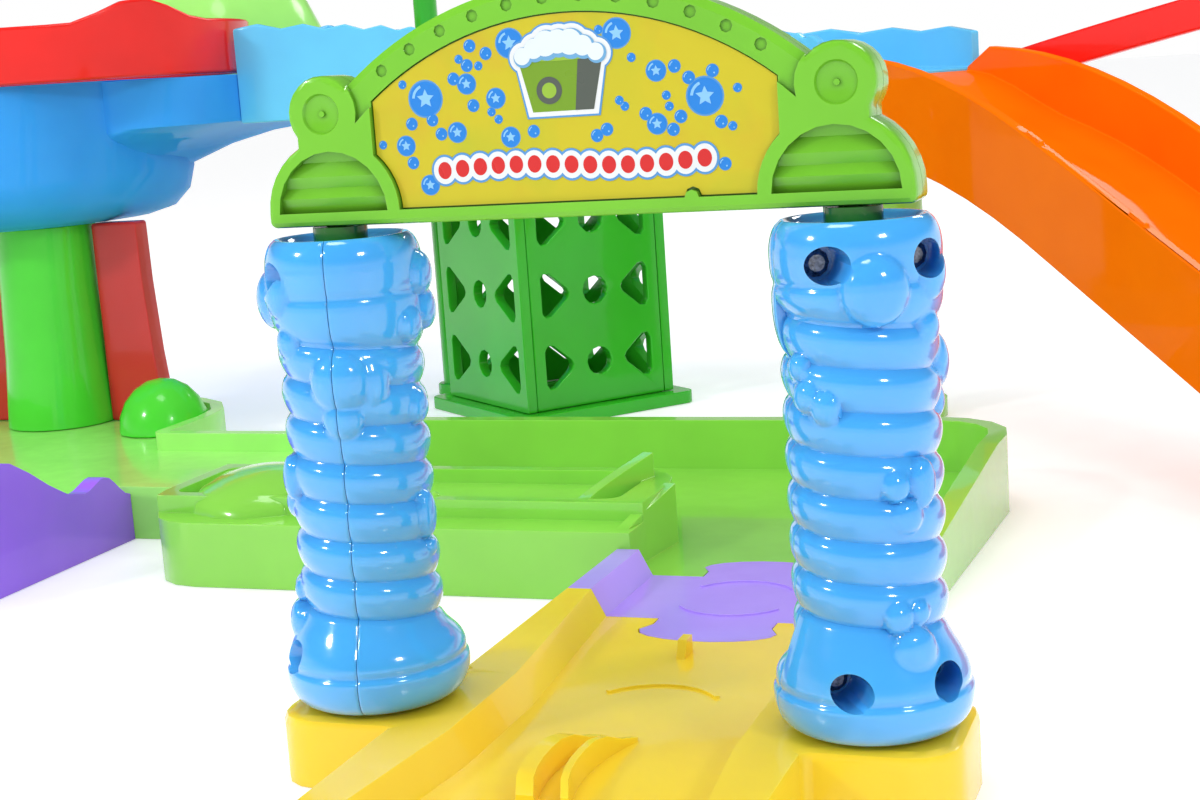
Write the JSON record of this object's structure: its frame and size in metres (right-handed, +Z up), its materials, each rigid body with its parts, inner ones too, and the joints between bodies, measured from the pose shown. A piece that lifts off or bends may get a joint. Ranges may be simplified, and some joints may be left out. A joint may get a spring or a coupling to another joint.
{
  "type": "toy parking garage",
  "caption": "Toy parking garage with a wash gate whose two spiral rollers turn, road tiles, base, raised deck, lattice tower, track and ramp.",
  "frame": {"origin": "on the floor, at the middle of the gate tile's flat underside, between the two rollers", "axes": "+Z up, +Y along the road through the gate towards the base, +X to the right of a car driving in"},
  "size_m": [0.7964, 0.703, 0.2375],
  "materials": {
    "yellow_plastic": "gloss",
    "purple_plastic": "gloss",
    "post_green": "gloss",
    "arch_green": "gloss",
    "sticker_yellow": "satin",
    "base_green": "gloss",
    "tower_green": "gloss",
    "panel_red": "gloss",
    "guard_red": "gloss",
    "deck_blue": "gloss",
    "ramp_orange": "gloss",
    "roller_blue": "gloss",
    "screw_steel": "satin"
  },
  "bodies": {
    "garage": {"gate_tile": "yellow_plastic", "link_tile": "purple_plastic", "gate_post_left": "post_green", "gate_post_right": "post_green", "arch_front_shell": "arch_green", "arch_back_shell": "arch_green", "sign_sticker": "sticker_yellow", "base_tile": "base_green", "yard_base": "base_green", "side_link": "purple_plastic", "deck_pillar": "tower_green", "deck_panel_left": "panel_red", "deck_panel_right": "panel_red", "deck_body": "deck_blue", "guard_ring": "guard_red", "deck_roof": "base_green", "yard_bush": "tower_green", "tower_front_plate": "tower_green", "tower_back_plate": "tower_green", "tower_left_plate": "tower_green", "tower_right_plate": "tower_green", "tower_foot": "tower_green", "track_left": "deck_blue", "track_right": "deck_blue", "track_mast": "tower_green", "ramp": "ramp_orange", "ramp_post": "base_green", "side_rail": "guard_red"},
    "roller_left": {"roller_left_screw_half": "roller_blue", "roller_left_plain_half": "roller_blue", "roller_left_screw_1": "screw_steel", "roller_left_screw_2": "screw_steel", "roller_left_screw_3": "screw_steel", "roller_left_screw_4": "screw_steel"},
    "roller_right": {"roller_right_screw_half": "roller_blue", "roller_right_plain_half": "roller_blue", "roller_right_screw_1": "screw_steel", "roller_right_screw_2": "screw_steel", "roller_right_screw_3": "screw_steel", "roller_right_screw_4": "screw_steel"}
  },
  "joints": [
    {"name": "roller_left_spin", "type": "hinge", "parent": "garage", "child": "roller_left", "pos_m": [-0.06, 0, 0.018], "axis": [0, 0, 1], "continuous": true},
    {"name": "roller_right_spin", "type": "hinge", "parent": "garage", "child": "roller_right", "pos_m": [0.06, 0, 0.018], "axis": [0, 0, 1], "continuous": true}
  ]
}
